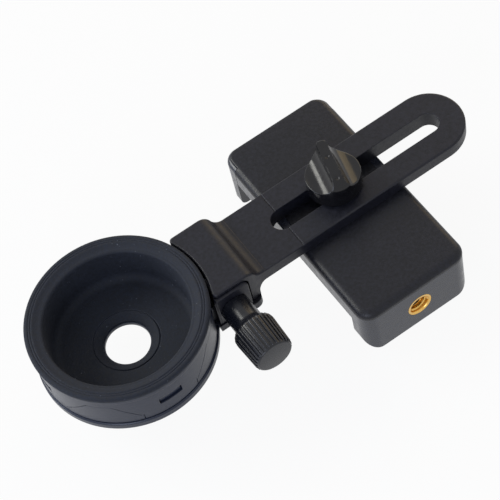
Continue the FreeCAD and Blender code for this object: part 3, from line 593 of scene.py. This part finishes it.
thumb = {
    "x": 29.55, "z": 7.8, "tipY": -13.15, "barrelY": -20.35, "gripY": -23.1, "endY": -33.65,
    "barrelR": 4.5, "rootR": 6.05, "endRootR": 5.6, "tipEdge": 0.3, "shoulderR": 1.5, "endEdge": 0.45,
    "boreR": 2.0, "boreDepth": 16.55, "steps": 96,
    "ribs": 30, "ribHeight": 0.42, "ribWidth": 0.66, "ribSunk": 0.35,
    "ribFlank": 0.16, "ribCrown": 0.04, "crownWidth": 0.6,
    # A rib's run-out at each end of the grip: place along it, share of height, share of width.
    "ribStart": ((-1.0, -0.5, 0.25), (-0.5, 0.35, 0.75), (0.1, 0.85, 1.0), (0.9, 1.0, 1.0)),
    "ribEnd": ((-1.1, 1.0, 1.0), (-0.55, 0.6, 0.85), (-0.25, -0.3, 0.6)),
}


def addThumbBody(s):
    # Heights count from the tip at the lug to the outer end.
    barrel = s["tipY"] - s["barrelY"]
    grip = s["tipY"] - s["gripY"]
    length = s["tipY"] - s["endY"]
    tipR = s["barrelR"] - s["tipEdge"]
    shoulder, edge = s["shoulderR"], s["endEdge"]
    outline = [(s["boreR"], 0), (tipR, 0)]
    outline += arcPoints((tipR, s["tipEdge"]), s["tipEdge"], -60, 0, 3)
    outline += [(s["barrelR"], barrel - 0.2)]
    outline += arcPoints((s["rootR"] - shoulder, grip + 0.25), shoulder, -58, 0, 5)
    outline += arcPoints((s["endRootR"] - edge, length - edge), edge, 4, 90, 5)
    outline += [(0.01, length), (0.01, s["boreDepth"]), (s["boreR"], s["boreDepth"])]
    return turnedPiece("thumbscrewBody", outline, s["steps"], gripAbs, (math.pi / 2, 0, 0),
                       (s["x"], s["tipY"], s["z"]), 50)


def addThumbRibs(s):
    grip = s["tipY"] - s["gripY"]
    length = s["tipY"] - s["endY"]
    places = [(grip + along, rise, wide) for along, rise, wide in s["ribStart"]]
    places += [(length + along, rise, wide) for along, rise, wide in s["ribEnd"]]
    rings = []
    for along, rise, wide in places:
        share = max(0.0, (along - grip) / (length - grip))
        root = s["rootR"] + (s["endRootR"] - s["rootR"]) * share
        half = s["ribWidth"] / 2 * wide * root / s["rootR"]
        crown = half * s["crownWidth"]
        low = root - s["ribSunk"]
        top = root + s["ribHeight"] * rise
        flank = top - s["ribFlank"]
        brow = top - s["ribCrown"]
        section = ((low, -half), (flank, -half), (brow, -crown), (top, 0), (brow, crown), (flank, half),
                   (low, half))
        rings.append([(out, across, along) for out, across in section])
    points, faces = loftRings(rings)
    return growPiece("thumbscrewRibs", ribRing, {
        "Count": s["ribs"], "Turn": (math.pi / 2, 0, 0),
        "Place": Vector((s["x"], s["tipY"], s["z"])) * mm, "Finish": gripAbs,
    }, (points, faces, ()), gripAbs, 40)


thumbBody = addThumbBody(thumb)
thumbRibs = addThumbRibs(thumb)
for piece in (thumbBody, thumbRibs):
    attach(piece, "thumbscrew")
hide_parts("thumbscrew_knob")
print("thumbscrew made")


# Wing knob: a round body with a hollow scoop on each side of its grip

wing = {
    "x": 74.15, "angle": 75.5, "bottom": 12.4, "rimR": 8.2, "rimZ": 17.3, "top": 22.0, "half": 1.5,
    "tip": 8.9, "tipR": 1.1, "heel": -4.8, "nearZ": 16.7, "heelBulge": (0.2, 0.7), "heelBlend": 0.25,
    "scoopR": 5.2, "scoopTilt": 5.0, "scoopBlend": 0.42, "edgeR": 0.4,
    "dimples": (2.7, -5.2), "dimpleR": 0.62, "dimpleDepth": 0.3,
    # The height grid is finer where the form turns sharply: starts of its stretches, and steps.
    "acrossStarts": (0, 1.2, 2.4, 7.2), "acrossSteps": (0.1, 0.05, 0.2, 0.07),
    "alongStarts": (0, 7.4), "alongSteps": (0.15, 0.05), "heelDegrees": (0.5, 1.5),
}


def softMin(first, second, width):
    # The lower of two heights, with a rounded line where they meet.
    near = max(width - abs(first - second), 0) / width
    return min(first, second) - near * near * width / 4


def circleThrough(a, b, c):
    # The centre and radius of the circle through three points.
    d = 2 * (a[0] * (b[1] - c[1]) + b[0] * (c[1] - a[1]) + c[0] * (a[1] - b[1]))
    sizes = [p[0] ** 2 + p[1] ** 2 for p in (a, b, c)]
    x = (sizes[0] * (b[1] - c[1]) + sizes[1] * (c[1] - a[1]) + sizes[2] * (a[1] - b[1])) / d
    y = (sizes[0] * (c[0] - b[0]) + sizes[1] * (a[0] - c[0]) + sizes[2] * (b[0] - a[0])) / d
    return x, y, math.hypot(a[0] - x, a[1] - y)


def gridLine(starts, steps, end):
    # Stretches of even steps, each up to where the next starts, and the end itself.
    line = []
    for start, stop, step in zip(starts, (*starts[1:], end), steps):
        count = round((stop - start) / step)
        line += [start + (stop - start) * i / count for i in range(count)]
    return line + [end]


def wingHalfWidth(s, v):
    # Half of the outline's width at v, which runs along the grip.
    disc = math.sqrt(max(s["rimR"] ** 2 - v * v, 0))
    start = s["tip"] - s["tipR"]
    if v < start:
        return disc
    nose = s["half"] - s["tipR"] + math.sqrt(max(s["tipR"] ** 2 - (v - start) ** 2, 0))
    return max(disc, nose)


def wingHeights(s):
    # Gives the top's height at (u, v): grip, rounded heel, a scoop on each side and two dimples.
    bulgeV, bulgeZ = s["heelBulge"]
    middle = ((s["heel"] - s["rimR"]) / 2 - bulgeV * (s["heel"] + s["rimR"]),
              s["rimZ"] + bulgeZ * (s["top"] - s["rimZ"]))
    heelV, heelZ, heelR = circleThrough((s["heel"], s["top"]), middle, (-s["rimR"], s["nearZ"]))
    scoopZ = s["rimZ"] + s["scoopR"]
    scoopU = s["half"] + math.sqrt(s["scoopR"] ** 2 - (scoopZ - s["top"]) ** 2)
    tilt = math.tan(math.radians(s["scoopTilt"]))

    def topAt(u, v):
        level = s["top"]
        if v < s["heel"] + 1.0:
            drop = heelR ** 2 - (v - heelV) ** 2
            heel = heelZ + math.sqrt(drop) if drop > 0 else s["nearZ"]
            level = softMin(level, heel, s["heelBlend"])
        across = s["scoopR"] ** 2 - (abs(u) - scoopU) ** 2
        if across > 0:
            scoop = scoopZ - v * tilt - math.sqrt(across)
            level = softMin(level, scoop, s["scoopBlend"])
        for spot in s["dimples"]:
            away = math.hypot(u, v - spot) / s["dimpleR"]
            if away < 1:
                level -= s["dimpleDepth"] * (1 - away ** 4)
        return level

    return topAt


def edgeDrop(distance, radius):
    # How far a rounded edge lies below the top, at this distance from the side.
    inside = radius - max(distance, 0)
    return radius - math.sqrt(radius ** 2 - inside ** 2) if inside > 0 else 0


def addWingKnob(s):
    half = gridLine(s["acrossStarts"], s["acrossSteps"], s["rimR"])
    columns = [-u for u in reversed(half[1:])] + half
    firstDegree, degreeStep = s["heelDegrees"]
    degrees = gridLine((firstDegree,), (degreeStep,), 90)[:-1]
    rows = [-s["rimR"] * math.cos(math.radians(a)) for a in degrees]
    rows += gridLine(s["alongStarts"], s["alongSteps"], s["tip"] - 0.001)
    turn = math.radians(s["angle"] - 90)
    topAt = wingHeights(s)
    points, faces = [], []
    for v in rows:
        wide = wingHalfWidth(s, v)
        for u in columns:
            u = max(-wide, min(wide, u))
            near = s["rimR"] - math.hypot(u, v)
            if v > 0:
                near = max(min(wide - abs(u), s["tip"] - v), near)
            height = topAt(u, v) - edgeDrop(near, s["edgeR"])
            points.append((s["x"] + u * math.cos(turn) - v * math.sin(turn),
                           u * math.sin(turn) + v * math.cos(turn), height))
    across, along = len(columns), len(rows)
    for row in range(along - 1):
        for column in range(across - 1):
            i = row * across + column
            faces.append((i, i + 1, i + 1 + across, i + across))
    # The grid's border, once round, carries the side wall and the flat bottom.
    border = list(range(across))
    border += [row * across + across - 1 for row in range(1, along)]
    border += [along * across - 1 - i for i in range(1, across)]
    border += [row * across for row in range(along - 2, 0, -1)]
    base, count = len(points), len(border)
    points += [(points[i][0], points[i][1], s["bottom"]) for i in border]
    for i in range(count):
        j = (i + 1) % count
        faces.append((border[j], border[i], base + i, base + j))
    faces.append(tuple(base + i for i in range(count)))
    return newPiece("wingKnob", points, faces, glossAbs, smoothAngle=55)


wingKnob = addWingKnob(wing)
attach(wingKnob, "knob")
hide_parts("wing_knob")
print("wing knob made")


# Brass insert: a turned bush with a quarter-inch thread of 20 turns to the inch

insert = {
    "x": 73.5, "y": -39.95, "z": -3.4, "outerR": 4.0, "edge": 0.12, "length": 6.0,
    "boreR": 3.1, "boreStart": 0.45, "mouthR": 3.3, "mouthEdge": (0.08, 0.05),
    "threadPitch": 1.27, "ridge": 0.52, "threadStart": 0.5, "threadInset": 0.9, "steps": 72,
}


def addInsert(s):
    out, deep = s["mouthEdge"]
    outline = [(s["boreR"], s["boreStart"]), (s["mouthR"], deep), (s["mouthR"] + out, 0),
               (s["outerR"] - s["edge"], 0), (s["outerR"], s["edge"]), (s["outerR"], s["length"]),
               (s["boreR"], s["length"])]
    bush = turnedPiece("brassBush", outline, s["steps"], turnedBrass, (-math.pi / 2, 0, 0),
                       (s["x"], s["y"], s["z"]))
    run = s["length"] - s["threadInset"]
    thread = growPiece("brassThread", winding, {
        "Turns": run / s["threadPitch"], "Radius": s["boreR"] * mm, "Length": run * mm,
        "Wire": s["ridge"] * mm, "WireSides": 4, "Copies": 1, "Turn": (-math.pi / 2, 0, 0),
        "Place": Vector((s["x"], s["y"] + s["threadStart"], s["z"])) * mm, "Finish": turnedBrass,
    }, ([(0, 0, 0)], (), ()), turnedBrass)
    return bush, thread


brassBush, brassThread = addInsert(insert)
for piece in (brassBush, brassThread):
    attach(piece, "holder")
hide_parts("brass_insert")
print("brass insert made")


# Return springs on the two guide rods

spring = {
    "xs": (63.75, 82.75), "y": (-28.75, 21.2), "z": 1.75, "radius": 1.4, "wire": 0.2, "turns": 26,
    "jawTravel": 27.0,
}


def addSprings(s):
    return growPiece("returnSprings", winding, {
        "Turns": s["turns"], "Radius": s["radius"] * mm, "Length": (s["y"][1] - s["y"][0]) * mm,
        "Wire": s["wire"] * mm, "WireSides": 8, "Copies": 2,
        "Pitch": ((s["xs"][1] - s["xs"][0]) * mm, 0, 0), "Turn": (-math.pi / 2, 0, 0),
        "Place": Vector((s["xs"][0], s["y"][0], s["z"])) * mm, "Finish": springSteel,
    }, ([(0, 0, 0)], (), ()), springSteel)


springs = addSprings(spring)
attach(springs, "holder")
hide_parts("jaw_springs")
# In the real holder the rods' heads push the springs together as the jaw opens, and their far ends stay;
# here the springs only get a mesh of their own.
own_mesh(springs)
print("springs made")


# Clamp band: the straight leg that sits in the lug moves with it, and the hoop stays

band = {"cutX": 22.3, "legY": -8.0}  # the leg is what lies past cutX on the near side of legY


def addBandPart(name, s, isLeg):
    # A copy of the frame's band, cut, with the other part left out and the cut closed.
    shape = bmesh.new()
    shape.from_mesh(nodes["clamp_band"].data)
    shape.transform(nodes["clamp_band"].matrix_world)
    bmesh.ops.remove_doubles(shape, verts=shape.verts, dist=0.002 * mm)
    everything = shape.verts[:] + shape.edges[:] + shape.faces[:]
    bmesh.ops.bisect_plane(shape, geom=everything, plane_co=(s["cutX"] * mm, 0, 0), plane_no=(1, 0, 0))
    unwanted = []
    for face in shape.faces:
        middle = face.calc_center_median() / mm
        inLeg = middle.x > s["cutX"] and middle.y < s["legY"]
        if inLeg != isLeg:
            unwanted.append(face)
    bmesh.ops.delete(shape, geom=unwanted, context="FACES")
    openEdges = [edge for edge in shape.edges if edge.is_boundary]
    bmesh.ops.holes_fill(shape, edges=openEdges, sides=0)
    mesh = bpy.data.meshes.new(name)
    shape.to_mesh(mesh)
    shape.free()
    return finishPiece(name, mesh, blackSteel)


bandHoop = addBandPart("bandHoop", band, False)
bandLeg = addBandPart("bandLeg", band, True)
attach(bandHoop, "cup_and_arm")
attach(bandLeg, "lug")
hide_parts("clamp_band")
print("clamp band split")


# Foam pads: die-cut sheet, a little crowned, with soft edges

pads = {
    "fixedJawPad": {"node": "fixed_jaw_pad", "body": "holder", "cornerR": 2.0, "face": "+y"},
    "movingJawPad": {"node": "moving_jaw_pad", "body": "jaw", "cornerR": 2.0, "face": "-y"},
    "backPad": {"node": "back_pad", "body": "holder", "cornerR": 2.5, "face": "-z"},
}
padCrown = {
    "edge": 0.35, "rise": 0.10, "leastCornerR": 0.6, "cornerSteps": 6,
    "crown": ((1.2, 0.55), (2.4, 0.25), (4.2, 0.0)),  # (inset, share of the rise still to come)
}


def addPad(name, s, crown):
    low, high = [Vector(corner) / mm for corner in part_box(s["node"])]
    axis = 1 if s["face"][1] == "y" else 2
    flat = [i for i in range(3) if i != axis]
    glued, free = (low[axis], high[axis]) if s["face"][0] == "+" else (high[axis], low[axis])
    thick = abs(free - glued)
    toward = 1 if free > glued else -1
    wall = thick - crown["edge"] - crown["rise"]
    levels = [(0.0, 0.0), (0.0, wall)]
    levels += [(crown["edge"] - x, wall + y) for x, y in arcPoints((0, 0), crown["edge"], 0, 90, 5)]
    levels += [(inset, thick - crown["rise"] * share) for inset, share in crown["crown"]]
    rings = []
    for inset, height in levels:
        radius = max(s["cornerR"] - inset, crown["leastCornerR"])
        outline = roundedOutline(low[flat[0]] + inset, high[flat[0]] - inset,
                                 low[flat[1]] + inset, high[flat[1]] - inset,
                                 (radius,) * 4, crown["cornerSteps"])
        ring = []
        for a, b in outline:
            point = [0, 0, 0]
            point[flat[0]], point[flat[1]], point[axis] = a, b, glued + toward * height
            ring.append(tuple(point))
        rings.append(ring)
    return newPiece(name, *loftRings(rings), padFoam, smoothAngle=60)


for padName, padSettings in pads.items():
    pad = addPad(padName, padSettings, padCrown)
    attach(pad, padSettings["body"])
    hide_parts(padSettings["node"])
print("foam pads made")


# Camera, light and floor

cameraSettings = {
    "placeMm": (-53.698, -263.422, 439.997),
    "right": (0.81964, -0.55235, -0.15199),
    "forward": (0.18837, 0.5104, -0.83905),
    "focalPixels": 1799.25,
    "framePixels": 500,
    "sensorMm": 36,
}


def addCamera(settings):
    data = bpy.data.cameras.new("photoView")
    data.sensor_width = settings["sensorMm"]
    data.lens = settings["focalPixels"] / settings["framePixels"] * data.sensor_width
    data.clip_start = 0.01
    camera = bpy.data.objects.new("photoView", data)
    bpy.context.scene.collection.objects.link(camera)
    right = Vector(settings["right"]).normalized()
    back = -Vector(settings["forward"]).normalized()
    up = back.cross(right).normalized()
    right = up.cross(back)
    turn = Matrix((right, up, back)).transposed().to_4x4()
    camera.matrix_world = Matrix.Translation(Vector(settings["placeMm"]) * mm) @ turn
    bpy.context.scene.camera = camera


# Places and sizes in metres. No lamp stands at (0.19, 0.51, 0.84) from the part: the camera
# would see it mirrored in every flat top.
lamps = {
    "windowLeft": {
        "place": (-0.55, 0.72, 0.60), "size": (0.75, 0.40), "watts": 8.0, "colour": "#fbfbf4"},
    "lowLeft": {
        "place": (-0.95, 0.38, 0.28), "size": (0.45, 0.30), "watts": 2.0, "colour": "#d9e5ff"},
    "warmRight": {
        "place": (0.85, 0.60, 0.42), "size": (0.85, 0.55), "watts": 2.4, "colour": "#ffdc98"},
    "coolFront": {
        "place": (-0.62, -0.62, 0.46), "size": (0.45, 0.35), "watts": 3.0, "colour": "#dfe8ff"},
}
lampTarget = Vector((0.045, 0, 0))  # the part's middle


def addLamp(name, settings, target):
    data = bpy.data.lights.new(name, "AREA")
    data.shape = "RECTANGLE"
    data.size, data.size_y = settings["size"]
    data.energy = settings["watts"]
    data.color = linearColour(settings["colour"])[:3]
    lamp = bpy.data.objects.new(name, data)
    bpy.context.scene.collection.objects.link(lamp)
    lamp.location = Vector(settings["place"])
    lamp.rotation_euler = (target - lamp.location).to_track_quat("-Z", "Y").to_euler()


addCamera(cameraSettings)
for lampName, lampSettings in lamps.items():
    addLamp(lampName, lampSettings, lampTarget)

studio = {
    "dim": 0.32, "dimColour": "#e9f0ff",
    "floorGlow": 0.93, "paper": "#ededed", "floorGapMm": 0.3, "floorReachMm": 2000,
}


def whiteRays(tree):
    # Rays that see the background: the camera's, and those in metal, gloss and glass.
    rays = addNode(tree, "ShaderNodeLightPath")
    both = addNode(tree, "ShaderNodeMath", {"operation": "ADD"}, {
        0: rays.outputs["Is Camera Ray"], 1: rays.outputs["Is Glossy Ray"]})
    everyOne = addNode(tree, "ShaderNodeMath", {"operation": "ADD", "use_clamp": True}, {
        0: both.outputs[0], 1: rays.outputs["Is Transmission Ray"]})
    return everyOne.outputs[0]


def addWorld(settings):
    world = bpy.data.worlds.new("studio")
    bpy.context.scene.world = world
    world.use_nodes = True
    tree = world.node_tree
    tree.nodes.clear()
    dim = addNode(tree, "ShaderNodeBackground", inputs={
        "Color": linearColour(settings["dimColour"]), "Strength": settings["dim"]})
    white = addNode(tree, "ShaderNodeBackground", inputs={"Color": (1, 1, 1, 1), "Strength": 1.0})
    sky = addNode(tree, "ShaderNodeMixShader", inputs={
        0: whiteRays(tree), 1: dim.outputs[0], 2: white.outputs[0]})
    addNode(tree, "ShaderNodeOutputWorld", inputs={"Surface": sky.outputs[0]})


def addFloor(settings):
    low = cadBox[0][2] / mm - settings["floorGapMm"]
    far = settings["floorReachMm"]
    corners = [(-far, -far, low), (far, -far, low), (far, far, low), (-far, far, low)]
    floor = newPiece("floor", corners, [(0, 1, 2, 3)], None)
    paint = bpy.data.materials.new("palePaper")
    paint.use_nodes = True
    tree = paint.node_tree
    tree.nodes.clear()
    paper = addNode(tree, "ShaderNodeBsdfDiffuse", inputs={"Color": linearColour(settings["paper"])})
    glow = addNode(tree, "ShaderNodeEmission", inputs={"Color": (1, 1, 1, 1), "Strength": 1.0})
    part = addNode(tree, "ShaderNodeMath", {"operation": "MULTIPLY"}, {
        0: whiteRays(tree), 1: settings["floorGlow"]})
    mix = addNode(tree, "ShaderNodeMixShader", inputs={
        0: part.outputs[0], 1: paper.outputs[0], 2: glow.outputs[0]})
    addNode(tree, "ShaderNodeOutputMaterial", inputs={"Surface": mix.outputs[0]})
    floor.data.materials.append(paint)


addWorld(studio)
addFloor(studio)
bpy.context.scene.view_settings.view_transform = "Standard"
print("camera, lamps and floor placed")

print("scene ready")
